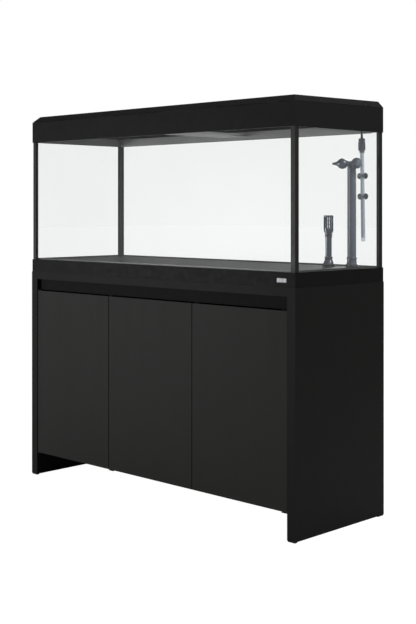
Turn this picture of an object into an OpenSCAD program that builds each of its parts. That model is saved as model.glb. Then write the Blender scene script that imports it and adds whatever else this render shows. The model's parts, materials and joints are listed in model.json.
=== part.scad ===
// Aquarium on a three-door cabinet, with a flap hood, drilled base, heater and canister filter.
// Millimetres. Z is up, the doors face -Y, and the origin is on the floor under the centre.

/* [Cabinet] */
// Overall width of the cabinet
cabinet_w = 1210; // [1180:10:1240]
// Overall depth of the cabinet
cabinet_d = 416; // [408:2:424]
// Height of the cabinet's top above the floor
cabinet_h = 711; // [705:1:720]
// Thickness of the two side panels
side_t = 30; // [28:1:32]
// Thickness of the top board
top_t = 25; // [22:1:28]
// Thickness of the inner boards
board_t = 18; // [16:1:19]
// Height of the gap below the doors
door_z = 80; // [76:1:90]
// Height of the doors
door_h = 565.5; // [560:0.5:570]
// Thickness of the doors
door_t = 18; // [16:1:18]
// How far the rail in the finger groove is set back
groove_depth = 12; // [12:0.5:14]

/* [Tank] */
// Height of the base moulding
trim_h = 43; // [41:1:46]
// Thickness of the glass walls
glass_t = 8; // [6:1:8]
// Height of the glass walls above the floor pane
glass_h = 434; // [430:1:440]
// How far the glass stands inside the cabinet's outline
glass_inset = 5; // [5:0.5:7]
// Width of the blank badge
badge_w = 36; // [30:1:45]

/* [Hood] */
// Height of the hood's lower edge above the floor
hood_z = 1163.5; // [1160:0.5:1166]
// Height of the hood's upright front face
hood_face = 71; // [68:1:74]
// Size of the slanted edge along the front and sides
hood_bevel = 19.5; // [17:0.5:21]
// Rise of the hood's top from front to back
hood_rise = 5.2; // [4:0.1:6]
// Wall thickness of the hood mouldings
hood_wall = 3; // [2.5:0.5:3]

/* [Equipment] */
// Diameter of the outlet riser
riser_d = 25.6; // [22:0.2:27]
// Diameter of the inlet pipe
inlet_d = 20; // [18:0.5:22]
// Diameter of the heater's glass tube
heater_d = 13; // [12:0.5:14]
// Diameter of the heater's cord
cord_d = 5; // [5:0.5:6]
// Outer radius of the filter canister
canister_r = 88; // [80:1:90]

/* [Hidden] */
$fn = 48;
half_w = cabinet_w / 2;
half_d = cabinet_d / 2;
glide_h = 3;
inner_x = half_w - side_t;
seam_x = inner_x / 2.968;
partition_x = seam_x;
door_front = -half_d + 2;
door_back = door_front + door_t;
door_top = door_z + door_h;
door_gap = 3;
hinge_gap = 2;
floor_board_z = door_z - 1;
floor_board_top = floor_board_z + board_t;
top_board_z = cabinet_h - top_t;
board_front = door_back + 2;
back_panel_y = half_d - 10;
back_panel_t = 4;
rail_front = -half_d + groove_depth;
rail_z = door_top + 3.5;
pin_r = 2;
pin_inset = 3.5;
running_gap = 0.05;
leaf_t = 2.5;
plate_len = 22;
plate_t = 1.5;
port_r = 30;
port_x = 390;
port_z = 600;
shelf_z = 360;
pivot_y = door_front + pin_inset;
pin_reach = 9;
// Each door: left edge, right edge, and the side its pivots are on (-1 left, 1 right)
door_spans = [
    [-inner_x + hinge_gap, -seam_x - door_gap / 2, -1],
    [-seam_x + door_gap / 2, seam_x - door_gap / 2, -1],
    [seam_x + door_gap / 2, inner_x - hinge_gap, 1]
];

trim_x = half_w - 1.2;
trim_y = half_d - 1.2;
trim_top = cabinet_h + trim_h;
trim_wall = 3.5;
floor_pane_t = 10;
ledge_w = 22;
ledge_t = 5;
glass_x = half_w - glass_inset;
glass_y = half_d - glass_inset;
wall_top = trim_top + glass_h;
bond = 1;
bead = 5;
rim_t = 2;
rim_z = hood_z + 0.5;
rim_top = wall_top + rim_t;

hood_x = half_w - 1.3;
hood_y = half_d - 1.3;
hood_front_z = hood_z + hood_face;
hood_top_z = hood_front_z + hood_bevel;
hood_slope = atan(hood_rise / (2 * hood_y - hood_bevel));
flap_seams = [-hood_x, -213, 268.5, hood_x];
flap_gap = 2;
flap_back = 135;
strip_front = 137;
hinge_y = 146;
hinge_z = hood_top_z + (hinge_y + hood_y - hood_bevel) * tan(hood_slope) - 6;
knuckle_r = 4;
knuckle_w = 20;
trunnion_r = 1.5;
ear_t = 3;
notch_x = 577;
notch_w = 32;
notch_top = 1206;
beam_w = 30;
light_z = 1196;

inlet_at = [456, 127];
outlet_at = [530, 147];
foot_ring_r = 19;
foot_ring_h = 6;
thread_r = 13.5;
tail_z = 690;
tail_r = 9;
hose_r = 11;
pipe_z = trim_top + foot_ring_h;
strainer_z = trim_top + 110;
strainer_top = trim_top + 158;
riser_top = trim_top + 297;
head_z = trim_top + 316;
ball_r = 16.5;
ball_at = [[-27, -11], [27, -11]];

heater_at = [541.5, 182, 1148];
heater_lean = -1;
heater_len = 316;
cap_h = 45;
dial_h = 9;
neck_r = 5;
cups_at = [115, 178];
cup_r = 9.5;
cup_xs = [-20, 2];
relief_h = 20;

filter_at = [430, 40];
canister_z = floor_board_top + 1;
canister_top = 360;
rim_r = canister_r + 6;
head_h = 60;
head_top = canister_top + head_h;
clip_z = canister_top - 30;
clip_r = rim_r + 5;
port_top = head_top + 55;
port_xs = [-22.5, 22.5];
rotor_r = 9;
impeller_z = canister_top - 15;

coil_at = [505, 262];
coil_r = 27.5;
coil_w = 10;
coil_h = 9.4;
plug_at = [474, 286];

// The heater cord's route from its gland to the coil behind the cabinet
cord_route = [
    [541.15, 182, 1168], [541.2, 182.3, 1174], [542.6, 183.2, 1183], [547.5, 185.2, 1191.5],
    [555, 188, 1197], [563.5, 191.5, 1199.5], [570.5, 196.5, 1200], [575.3, 203.5, 1197.5],
    [577, 211, 1191], [577, 217, 1181], [577, 220, 1168], [577, 221, 1150], [577, 221, 1000],
    [577, 221, 850], [577, 221, 700], [577, 221, 550], [577, 221, 400], [577, 221, 250],
    [577, 221, 120], [577, 221, 60], [576, 222, 35], [573, 225, 18], [567, 230, 7],
    [559, 235, 3], [548, 239, 2.6], [539, 248, 2.6], [535, 262, 2.6]
];
// The short tail from the coil to the plug
tail_route = [[505, 289.5, 6.8], [495, 289.5, 6.8], [484, 288, 6.9], [474, 286, 7]];

// ---------------------------------------------------------------- shared shapes

// A box given by its lowest and highest corners
module span(low, high) {
    translate(low) cube(high - low);
}

// Copies its children to the other side of the YZ plane as well
module both_sides() {
    children();
    mirror([1, 0, 0]) children();
}

// A flat plate with round corners, standing on z = 0
module rounded_plate(size, radius, thickness) {
    linear_extrude(thickness) union() {
        square([size[0] - 2 * radius, size[1]], center = true);
        square([size[0], size[1] - 2 * radius], center = true);
        for (x = [-1, 1], y = [-1, 1])
            translate([x * (size[0] / 2 - radius), y * (size[1] / 2 - radius)]) circle(radius);
    }
}

// A rectangular ring around the Z axis
module ring_box(outer, inner, z0, z1) {
    difference() {
        span([-outer[0], -outer[1], z0], [outer[0], outer[1], z1]);
        span([-inner[0], -inner[1], z0 - 1], [inner[0], inner[1], z1 + 1]);
    }
}

// Vector helpers for the swept tubes
function unit(v) = v / norm(v);
function tangent(p, i) = unit(p[min(i + 1, len(p) - 1)] - p[max(i - 1, 0)]);
// The side vector carried from ring to ring, so that a tube doesn't twist
function carried(t, s) = unit(s - t * (s * t));
function sides_along(p, i, s) =
    i == len(p) ? [] : let (n = carried(tangent(p, i), s)) concat([n], sides_along(p, i + 1, n));

// A closed round tube along a list of points
module swept_tube(points, radius, sides, first_side) {
    across = sides_along(points, 0, first_side);
    rings = [for (i = [0 : len(points) - 1], k = [0 : sides - 1])
        let (a = 360 * k / sides, b = cross(tangent(points, i), across[i]))
        points[i] + radius * (cos(a) * across[i] + sin(a) * b)];
    last = (len(points) - 1) * sides;
    walls = [for (i = [0 : len(points) - 2], k = [0 : sides - 1])
        let (n = (k + 1) % sides)
        [i * sides + k, (i + 1) * sides + k, (i + 1) * sides + n, i * sides + n]];
    start = [for (k = [0 : sides - 1]) k];
    end = [for (k = [sides - 1 : -1 : 0]) last + k];
    polyhedron(points = rings, faces = concat([start, end], walls), convexity = 10);
}

// ---------------------------------------------------------------- cabinet

module side_panel() {
    span([inner_x, -half_d, glide_h], [half_w, half_d, top_board_z]);
}

module side_panel_left() {
    color("#262626") mirror([1, 0, 0]) side_panel();
}

module side_panel_right() {
    color("#262626") side_panel();
}

// The top board has one opening for the hoses and round holes at the back for cables
module top_board() {
    hose_cut = [200, 100];
    hose_mid = (inlet_at + outlet_at) / 2;
    color("#2c2c2c") difference() {
        span([-half_w, -half_d, top_board_z], [half_w, half_d, cabinet_h]);
        translate([hose_mid[0], hose_mid[1], top_board_z - 1]) rounded_plate(hose_cut, 15, top_t + 2);
    }
}

module bottom_board() {
    color("#242424")
        span([-inner_x, board_front, floor_board_z], [inner_x, back_panel_y, floor_board_top]);
}

module partitions() {
    color("#242424") both_sides()
        span([partition_x - board_t / 2, board_front, floor_board_top],
             [partition_x + board_t / 2, back_panel_y, top_board_z]);
}

module grip_rail() {
    color("#1e1e1e") span([-inner_x, rail_front, rail_z], [inner_x, board_front, top_board_z]);
}

module back_panel() {
    color("#202020") difference() {
        span([-inner_x, back_panel_y, floor_board_z],
             [inner_x, back_panel_y + back_panel_t, top_board_z]);
        for (x = [-port_x, port_x])
            translate([x, back_panel_y - 1, port_z]) rotate([-90, 0, 0]) cylinder(r = port_r, h = 10);
    }
}

module shelves() {
    side = partition_x + board_t / 2 + 1;
    middle = partition_x - board_t / 2 - 1;
    color("#262626") {
        span([-inner_x + 1, -165, shelf_z], [-side, back_panel_y - 4, shelf_z + board_t]);
        span([-middle, -165, shelf_z], [middle, back_panel_y - 4, shelf_z + board_t]);
    }
}

module shelf_pin() {
    pin_len = 9;
    rotate([0, 90, 0]) cylinder(r = 2.5, h = pin_len, $fn = 24);
    translate([0, -5, 2.5]) cube([pin_len, 10, 1.5]);
}

module shelf_pins() {
    left_wall = -inner_x;
    walls = [left_wall, -partition_x + board_t / 2];
    ends = [-partition_x - board_t / 2, partition_x - board_t / 2];
    color("#a0a2a4") for (y = [-120, 140], i = [0, 1]) {
        translate([walls[i], y, shelf_z - 4]) shelf_pin();
        translate([ends[i], y, shelf_z - 4]) mirror([1, 0, 0]) shelf_pin();
    }
}

module panel_glides() {
    glide_x = inner_x + 2;
    color("#151515") both_sides() {
        span([glide_x, -half_d + 1, 0], [half_w - 2, -half_d + 11, glide_h]);
        span([glide_x, half_d - 28, 0], [half_w - 2, half_d - 1, glide_h]);
    }
}

// A height-adjustable foot: floor disc, threaded stem and the flange under the board
module centre_foot() {
    cylinder(r = 25, h = 6);
    translate([0, 0, 6]) cylinder(r1 = 22, r2 = 12, h = 8);
    translate([0, 0, 14]) cylinder(r = 6, h = floor_board_z - 14 - 12);
    translate([0, 0, floor_board_z - 22]) cylinder(r = 14, h = 18);
    translate([0, 0, floor_board_z - 4]) cylinder(r = 24, h = 4);
}

module centre_feet() {
    color("#1a1a1a") both_sides() for (y = [75, 160]) translate([partition_x, y, 0]) centre_foot();
}

// ---------------------------------------------------------------- doors and their hinges

function hinge_edge(i) = door_spans[i][2] < 0 ? door_spans[i][0] : door_spans[i][1];
function free_edge(i) = door_spans[i][2] < 0 ? door_spans[i][1] : door_spans[i][0];
function pivot_x(i) = hinge_edge(i) - door_spans[i][2] * pin_inset;

// The slab with its stopped grip bevel, its leaf mortises and its pin holes
module door(i) {
    inward = -door_spans[i][2];
    edge = hinge_edge(i);
    bevel = 11;
    bevel_start = edge + inward * 45;
    low = min(bevel_start, free_edge(i) + inward);
    high = max(bevel_start, free_edge(i) + inward);
    color("#2e2e2c") difference() {
        span([door_spans[i][0], door_front, door_z], [door_spans[i][1], door_back, door_top]);
        translate([low, door_back, door_top]) rotate([45, 0, 0])
            translate([0, -bevel, -bevel]) cube([high - low, 2 * bevel, 2 * bevel * 0.7]);
        door_leaf_space(i, door_z - 1, door_z + leaf_t);
        door_leaf_space(i, door_top - leaf_t, door_top + 1);
        translate([pivot_x(i), pivot_y, door_z - 1])
            cylinder(r = pin_r + running_gap, h = pin_reach + 3);
        translate([pivot_x(i), pivot_y, door_top - pin_reach - 2])
            cylinder(r = pin_r + running_gap, h = pin_reach + 3);
    }
}

// The mortise that a leaf lies in
module door_leaf_space(i, z0, z1) {
    inward = -door_spans[i][2];
    x0 = hinge_edge(i);
    x1 = x0 + inward * 40;
    span([min(x0, x1), door_front + 1, z0], [max(x0, x1), door_front + 9, z1]);
}

// Two steel leaves let into the door's ends, and the plate that the magnet holds
module door_fittings(i) {
    inward = -door_spans[i][2];
    plate_x = free_edge(i) - inward * 6;
    color("#5c5e60") {
        for (z = [door_z, door_top - leaf_t])
            difference() {
                door_leaf_space(i, z, z + leaf_t);
                translate([pivot_x(i), pivot_y, z - 1])
                    cylinder(r = pin_r + running_gap, h = leaf_t + 2);
            }
        span([min(plate_x, plate_x - inward * 24), door_back, 598],
             [max(plate_x, plate_x - inward * 24), door_back + 1.2, 618]);
    }
}

module door_left() { door(0); }
module door_middle() { door(1); }
module door_right() { door(2); }
module door_left_fittings() { door_fittings(0); }
module door_middle_fittings() { door_fittings(1); }
module door_right_fittings() { door_fittings(2); }

// Cabinet side of the pivots: a plate under each door and one above it, each with its pin
module pivot_plates() {
    back = board_front + 30;
    color("#5c5e60") for (i = [0 : 2]) {
        inward = -door_spans[i][2];
        wall = hinge_edge(i) - inward * (i == 1 ? 0 : hinge_gap);
        low = min(wall, wall + inward * plate_len);
        high = max(wall, wall + inward * plate_len);
        span([low, -half_d + 1, floor_board_z - plate_t], [high, back, floor_board_z]);
        translate([pivot_x(i), pivot_y, floor_board_z - plate_t]) cylinder(r = pin_r, h = pin_reach);
        span([low, -half_d + 1, door_top + 1], [high, board_front, rail_z]);
        translate([pivot_x(i), pivot_y, rail_z - pin_reach]) cylinder(r = pin_r, h = pin_reach);
    }
}

// Magnets beside the doors' free edges
module door_catches() {
    side = partition_x + board_t / 2;
    inner = partition_x - board_t / 2;
    starts = [-side - 18, inner - 18, side];
    color("#3a3a3c") for (x = starts) difference() {
        span([x, board_front, 595], [x + 18, board_front + 34, 621]);
        translate([x + 9, board_front + 24, 594]) cylinder(r = 2, h = 30, $fn = 24);
    }
}

// ---------------------------------------------------------------- tank

// Black perimeter moulding: an outer wall, a ledge for the floor pane, and ribs
module base_frame() {
    wall_in = [trim_x - trim_wall, trim_y - trim_wall];
    web = [wall_in[0] - ledge_w, wall_in[1] - ledge_w];
    ledge_z = trim_top - floor_pane_t;
    rib_t = 3;
    color("#1c1c1c") {
        ring_box([trim_x, trim_y], wall_in, cabinet_h, trim_top);
        ring_box([trim_x - 1, trim_y - 1], web, ledge_z - ledge_t, ledge_z);
        ring_box(web + [rib_t, rib_t], web, cabinet_h, ledge_z);
        for (x = [-500 : 100 : 500]) both_faces() span([x - rib_t / 2, web[1] + 1, cabinet_h],
            [x + rib_t / 2, wall_in[1] + 1, ledge_z]);
        for (y = [-120 : 80 : 120]) both_sides() span([web[0] + 1, y - rib_t / 2, cabinet_h],
            [wall_in[0] + 1, y + rib_t / 2, ledge_z]);
    }
}

// Copies its children to the other side of the XZ plane as well
module both_faces() {
    children();
    mirror([0, 1, 0]) children();
}

// A blank plate on the front of the moulding
module badge_plate() {
    badge_x = half_w - 50.5;
    badge_h = 12.5;
    color("#cfcfcf") translate([badge_x, -trim_y, cabinet_h + 20]) rotate([90, 0, 0])
        rounded_plate([badge_w, badge_h], 1.5, 1.1);
}

module bottom_pane() {
    color("#3c3e40") difference() {
        span([-glass_x, -glass_y, trim_top - floor_pane_t], [glass_x, glass_y, trim_top]);
        for (at = [inlet_at, outlet_at])
            translate([at[0], at[1], trim_top - floor_pane_t - 1]) cylinder(r = thread_r + 0.5, h = 20);
    }
}

module long_pane() {
    span([-glass_x, glass_y - glass_t, trim_top], [glass_x, glass_y, wall_top]);
}

module end_pane() {
    reach = glass_y - glass_t - bond;
    span([glass_x - glass_t, -reach, trim_top], [glass_x, reach, wall_top]);
}

module front_pane() { color("#dfe8e6", 0.3) mirror([0, 1, 0]) long_pane(); }
module back_pane() { color("#dfe8e6", 0.3) long_pane(); }
module left_pane() { color("#dfe8e6", 0.3) mirror([1, 0, 0]) end_pane(); }
module right_pane() { color("#dfe8e6", 0.3) end_pane(); }

// The silicone in one corner: a thin bond between the panes and a fillet inside
module corner_seam() {
    x = glass_x - glass_t;
    y = glass_y - glass_t;
    outline = [[glass_x, y - bond], [glass_x, y], [x - bead, y], [x, y - bead], [x, y - bond]];
    translate([0, 0, trim_top]) linear_extrude(rim_z - trim_top - 0.3) polygon(outline);
}

module corner_seams() {
    color("#101010") both_sides() both_faces() corner_seam();
}

// Thin angles over the outside of the corners, from the base moulding to the hood
module corner_trims() {
    leg = 14.5;
    wall = 1.6;
    top = hood_z - 0.4;
    color("#2d2d2e") both_sides() both_faces() {
        span([glass_x - leg, glass_y, trim_top], [glass_x + wall, glass_y + wall, top]);
        span([glass_x, glass_y - leg, trim_top], [glass_x + wall, glass_y + wall, top]);
    }
}

// Beads along the floor, ending at the corner fillets
module floor_seams() {
    leg = 4.5;
    inner_x_end = glass_x - glass_t - bead - 0.5;
    inner_y_end = glass_y - glass_t - bead - 0.5;
    bead_outline = [[0, 0], [-leg, 0], [0, leg]];
    color("#101010") {
        both_faces() translate([-inner_x_end, glass_y - glass_t, trim_top])
            rotate([90, 0, 90]) linear_extrude(2 * inner_x_end) polygon(bead_outline);
        both_sides() translate([glass_x - glass_t, inner_y_end, trim_top])
            rotate([90, 0, 0]) linear_extrude(2 * inner_y_end) polygon(bead_outline);
    }
}

// An L-shaped profile over the top edges of the panes
module rim_trim() {
    leg_t = 1.5;
    inside = [glass_x - glass_t, glass_y - glass_t];
    color("#5a5c5e") {
        ring_box([glass_x, glass_y], inside - [leg_t, leg_t], wall_top, rim_top);
        ring_box(inside, inside - [leg_t, leg_t], rim_z, rim_top);
    }
}

// A glass strip across the middle that stops the long panes bowing
module centre_brace() {
    reach = glass_y - glass_t - 1.5;
    color("#dfe8e6", 0.3) span([-60, -reach, wall_top - 14], [60, reach, wall_top - 6]);
}

// ---------------------------------------------------------------- plumbing in the tank

// A threaded fitting through the floor, its hose tail below, and its nut as a separate solid
module bulkhead() {
    bore_r = 7.5;
    nut_top = trim_top - floor_pane_t;
    difference() {
        union() {
            translate([0, 0, trim_top]) cylinder(r = foot_ring_r, h = foot_ring_h);
            translate([0, 0, nut_top - 22]) cylinder(r = thread_r, h = floor_pane_t + 23);
            translate([0, 0, tail_z]) cylinder(r = tail_r + 2, h = nut_top - 22 - tail_z + 0.5);
        }
        translate([0, 0, tail_z - 1]) cylinder(r = bore_r, h = trim_top + foot_ring_h - tail_z + 2);
    }
    difference() {
        translate([0, 0, nut_top - 12]) cylinder(r = 20, h = 12, $fn = 8);
        translate([0, 0, nut_top - 13]) cylinder(r = thread_r + 0.1, h = 14);
    }
}

module bulkheads() {
    color("#4a4f5a") for (at = [inlet_at, outlet_at]) translate([at[0], at[1], 0]) bulkhead();
}

// A pipe with a flared foot, hollow all the way
module flared_pipe(radius, top) {
    wall = 2;
    flare_h = 23;
    difference() {
        union() {
            cylinder(r1 = 16.5, r2 = radius + 0.8, h = flare_h);
            cylinder(r = radius, h = top);
        }
        translate([0, 0, -1]) cylinder(r = radius - wall, h = top + 2);
    }
}

module inlet_pipe() {
    top = strainer_z - pipe_z;
    collar_h = 15;
    color("#565c68") translate([inlet_at[0], inlet_at[1], pipe_z]) {
        flared_pipe(inlet_d / 2, top);
        difference() {
            translate([0, 0, top - collar_h]) cylinder(r1 = inlet_d / 2 + 1, r2 = 12.5, h = collar_h);
            translate([0, 0, top - collar_h - 1]) cylinder(r = inlet_d / 2 - 0.5, h = collar_h + 2);
        }
    }
}

// A cage with upright slots all round
module inlet_strainer() {
    radius = 15;
    height = strainer_top - strainer_z;
    slots = 16;
    color("#565c68") translate([inlet_at[0], inlet_at[1], strainer_z]) difference() {
        cylinder(r = radius, h = height);
        translate([0, 0, -1]) cylinder(r = radius - 2.5, h = height - 3);
        for (i = [0 : slots - 1]) rotate(i * 360 / slots)
            translate([radius - 5, -1.2, 8]) cube([8, 2.4, height - 18]);
    }
}

module outlet_riser() {
    color("#565c68") translate([outlet_at[0], outlet_at[1], pipe_z])
        flared_pipe(riser_d / 2, riser_top - pipe_z);
}

// The head on the riser: a dome that feeds two short arms, each ending in a ball socket
module outlet_head() {
    arm_r = 7;
    color("#565c68") translate([outlet_at[0], outlet_at[1], 0]) difference() {
        union() {
            translate([0, 0, riser_top]) cylinder(r = riser_d / 2 + 0.6, h = 8);
            translate([0, 0, riser_top + 8]) cylinder(r1 = riser_d / 2 + 0.6, r2 = 9, h = 9);
            for (at = ball_at) translate([0, 0, head_z])
                rotate([0, 90, atan2(at[1], at[0])]) cylinder(r = arm_r, h = norm(at) - ball_r - 0.6);
        }
        translate([0, 0, riser_top - 1]) cylinder(r = 9, h = 12);
    }
}

// An egg-shaped nozzle that turns on the end of its arm
module nozzle(yaw, reach) {
    tip_r = 3.2;
    difference() {
        union() {
            sphere(r = ball_r);
            rotate([0, 90, yaw]) translate([0, 0, ball_r * 0.62])
                cylinder(r1 = ball_r * 0.78, r2 = tip_r, h = reach - ball_r * 0.62);
        }
        rotate([0, 90, yaw]) cylinder(r = 1.8, h = reach + 1, $fn = 24);
    }
}

module nozzle_left() {
    color("#5b616d") translate([outlet_at[0] + ball_at[0][0], outlet_at[1] + ball_at[0][1], head_z])
        nozzle(215, 32);
}

module nozzle_right() {
    color("#5b616d") translate([outlet_at[0] + ball_at[1][0], outlet_at[1] + ball_at[1][1], head_z])
        nozzle(-60, 32);
}

// ---------------------------------------------------------------- heater

// Puts its children on the heater's axis: z = 0 at the cap's top, running down
module on_heater() {
    translate(heater_at) rotate([0, heater_lean, 0]) children();
}

module heater_tube() {
    radius = heater_d / 2;
    length = heater_len - cap_h;
    color("#aeb6be", 0.5) on_heater() translate([0, 0, -heater_len]) difference() {
        union() {
            translate([0, 0, 2]) cylinder(r = radius, h = length - 2);
            cylinder(r1 = radius - 2, r2 = radius, h = 2);
        }
        translate([0, 0, 3]) cylinder(r = radius - 1, h = length);
    }
}

// The ceramic former that carries the element inside the tube
module heater_core() {
    color("#8c9298") on_heater() translate([0, 0, -heater_len + 12]) {
        cylinder(r = 3.6, h = heater_len - cap_h - 14);
        for (z = [6 : 12 : 126]) translate([0, 0, z]) cylinder(r = 4.6, h = 6);
    }
}

// Moulded cap, tapering down to the glass, with a neck for the dial and the cord's relief
module heater_cap() {
    body_h = cap_h - dial_h - 1;
    color("#4c515c") on_heater() {
        translate([0, 0, -cap_h]) difference() {
            cylinder(r1 = 7.6, r2 = 10.4, h = body_h);
            translate([0, 0, -1]) cylinder(r = heater_d / 2 - 1.1, h = 4);
        }
        translate([0, 0, -dial_h - 1]) cylinder(r = neck_r, h = dial_h + 1);
        cylinder(r1 = 4.2, r2 = cord_d / 2 + 0.4, h = relief_h);
    }
}

// The temperature collar around the cap's neck
module heater_dial() {
    ribs = 18;
    radius = 10.2;
    color("#3d424c") on_heater() translate([0, 0, -dial_h - 0.6]) difference() {
        cylinder(r = radius, h = dial_h);
        translate([0, 0, -1]) cylinder(r = neck_r + running_gap, h = dial_h + 2);
        for (i = [0 : ribs - 1]) rotate(i * 360 / ribs)
            translate([radius + 0.3, 0, 1.5]) cylinder(r = 0.9, h = dial_h, $fn = 16);
    }
}

// Two clips, each on a bar with a pair of suction cups that hold on to the back pane
module heater_holders() {
    pane = glass_y - glass_t - heater_at[1];
    clip_in = heater_d / 2 + 0.1;
    clip_wall = 1.8;
    bar_t = 2.5;
    cup_back = clip_in + bar_t;
    color("#30343c") on_heater() for (drop = cups_at) translate([0, 0, -drop]) {
        difference() {
            union() {
                translate([0, 0, -5]) cylinder(r = clip_in + clip_wall, h = 10);
                translate([cup_xs[0] - 4, clip_in, -4]) cube([cup_xs[1] - cup_xs[0] + 8, bar_t, 8]);
            }
            translate([0, 0, -6]) cylinder(r = clip_in, h = 12);
            translate([-3.5, -clip_in - 4, -6]) cube([7, 8, 12]);
        }
        for (x = cup_xs) translate([x, cup_back, 0]) rotate([-90, 0, 0])
            cylinder(r1 = 5, r2 = cup_r, h = pane - cup_back);
    }
}

module heater_cord() {
    color("#181818") {
        swept_tube(cord_route, cord_d / 2, 8, [1, 0, 0]);
        swept_tube(tail_route, cord_d / 2, 8, [0, 0, 1]);
    }
}

module heater_cord_coil() {
    color("#181818") translate([coil_at[0], coil_at[1], 0]) rotate_extrude()
        translate([coil_r - coil_w / 2, 0]) square([coil_w, coil_h]);
}

// A flat two-pin plug lying on its side
module heater_plug() {
    pin_len = 19;
    pin_pitch = 17.5;
    body = [26, 34, 13.5];
    color("#1b1b1b") translate([plug_at[0], plug_at[1], 0]) rotate(90) {
        linear_extrude(body[2]) polygon([[-5, 0], [5, 0], [body[0] / 2, 14], [body[0] / 2, body[1]],
            [-body[0] / 2, body[1]], [-body[0] / 2, 14]]);
        for (x = [-1, 1]) translate([x * pin_pitch / 2, body[1], body[2] / 2])
            rotate([-90, 0, 0]) cylinder(r = 2, h = pin_len, $fn = 24);
    }
}

// ---------------------------------------------------------------- hood

// Moves its children onto the sloping plane through the top of the upright front face
module on_slope() {
    translate([0, -hood_y, hood_front_z]) rotate([hood_slope, 0, 0]) children();
}

// The hood's outer form, shrunk by an inset on every side and open downwards
module hood_form(inset) {
    cut = hood_bevel;
    ease = inset * 0.4142;
    long = 2 * hood_x;
    wide = 2 * hood_y;
    side = hood_x - inset;
    intersection() {
        translate([-side, 0, 0]) rotate([90, 0, 90]) linear_extrude(2 * side) polygon([
            [-hood_y + inset, hood_z - 1], [-hood_y + inset, hood_front_z - ease],
            [-hood_y + cut + ease, hood_top_z - inset],
            [hood_y - inset, hood_top_z + hood_rise - inset], [hood_y - inset, hood_z - 1]]);
        on_slope() translate([0, wide + 20, 0]) rotate([90, 0, 0]) linear_extrude(wide + 40)
            polygon([[-side, -long], [side, -long], [side, -ease], [side - 60, 60 - ease],
                     [-side + 60, 60 - ease], [-side, -ease]]);
    }
}

// The hood's wall, cut off level at its lower edge
module hood_shell() {
    difference() {
        hood_form(0);
        hood_form(hood_wall);
        span([-hood_x - 1, -hood_y - 1, hood_z - 5], [hood_x + 1, hood_y + 1, hood_z]);
    }
}

// Everything above the seam between the flaps and the frame
module above_seam(gap) {
    on_slope() translate([-hood_x - 5, -10, gap]) cube([2 * hood_x + 10, 2 * hood_y + 20, 80]);
}

// The middle of each hinge along X, two for every flap
hinge_share = 0.2;
function hinge_xs(i) = let (a = flap_seams[i], b = flap_seams[i + 1], d = (b - a) * hinge_share)
    [a + d, b - d];
all_hinges = [for (i = [0 : 2]) each hinge_xs(i)];

module lid_frame() {
    inner = hood_x - hood_wall;
    inner_y = hood_y - hood_wall;
    flange_t = 3;
    web_z = hood_top_z - 16;
    color("#222222") difference() {
        union() {
            difference() {
                hood_shell();
                difference() {
                    above_seam(-0.5);
                    span([-700, strip_front, 1100], [700, 300, 1400]);
                }
            }
            // Flange that rests on the rim of the glass
            ring_box([inner + 1, inner_y + 1], [inner - 12, inner_y - 12], rim_top, rim_top + flange_t);
            // Ledge under the flaps' edges
            difference() {
                on_slope() translate([-inner - 1, 1, -4]) cube([2 * inner + 2, 2 * inner_y + 2, 3]);
                on_slope() translate([-inner + 10, 14, -9]) cube([2 * inner - 20, 2 * inner_y - 24, 12]);
            }
            // Web below the front edge of the fixed strip
            intersection() {
                hood_form(hood_wall - 0.5);
                span([-inner - 1, strip_front, web_z], [inner + 1, strip_front + 3, hood_top_z + 4]);
            }
            // Beams under the flap seams, which carry the light bars
            for (x = [flap_seams[1], flap_seams[2]])
                span([x - beam_w / 2, -inner_y - 1, 1212], [x + beam_w / 2, inner_y + 1, 1229]);
            for (x = all_hinges) translate([x, hinge_y, hinge_z]) hinge_ears();
        }
        for (x = all_hinges) translate([x, hinge_y, hinge_z]) {
            span([-knuckle_w / 2 - 1, -12, -9], [knuckle_w / 2 + 1, 7, 20]);
            translate([-30, 0, 0]) rotate([0, 90, 0])
                cylinder(r = trunnion_r + running_gap, h = 60, $fn = 32);
        }
        span([notch_x - notch_w / 2, 185, hood_z - 5], [notch_x + notch_w / 2, 220, notch_top]);
    }
}

// Two ears that hold a flap's trunnions
module hinge_ears() {
    for (s = [-1, 1]) {
        start = s > 0 ? knuckle_w / 2 + 1 : -knuckle_w / 2 - 1 - ear_t;
        span([start, -8, -8], [start + ear_t, 7, 3.5]);
    }
}

// One flap: its part of the shell, stiffening webs, hinge arms and moulded trunnions
module flap(i) {
    x0 = flap_seams[i] + (i == 0 ? -1 : flap_gap / 2);
    x1 = flap_seams[i + 1] + (i == 2 ? 1 : -flap_gap / 2);
    web = 2.5;
    color("#262626") {
        intersection() {
            hood_shell();
            above_seam(0.5);
            span([x0, -hood_y - 1, 1200], [x1, flap_back, 1300]);
        }
        intersection() {
            hood_form(hood_wall - 0.5);
            above_seam(2);
            for (x = [max(x0, -hood_x + 30), min(x1, hood_x - 30) - web])
                span([x, -hood_y, hood_front_z + 4], [x + web, flap_back - 1, 1300]);
        }
        for (x = hinge_xs(i)) translate([x, hinge_y, hinge_z]) {
            span([-knuckle_w / 2, -34, -3], [knuckle_w / 2, 0, 3.2]);
            translate([-knuckle_w / 2, 0, 0]) rotate([0, 90, 0]) cylinder(r = knuckle_r, h = knuckle_w);
            translate([-knuckle_w / 2 - 3.8, 0, 0]) rotate([0, 90, 0])
                cylinder(r = trunnion_r, h = knuckle_w + 7.6, $fn = 32);
        }
    }
}

module flap_left() { flap(0); }
module flap_middle() { flap(1); }
module flap_right() { flap(2); }

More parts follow.
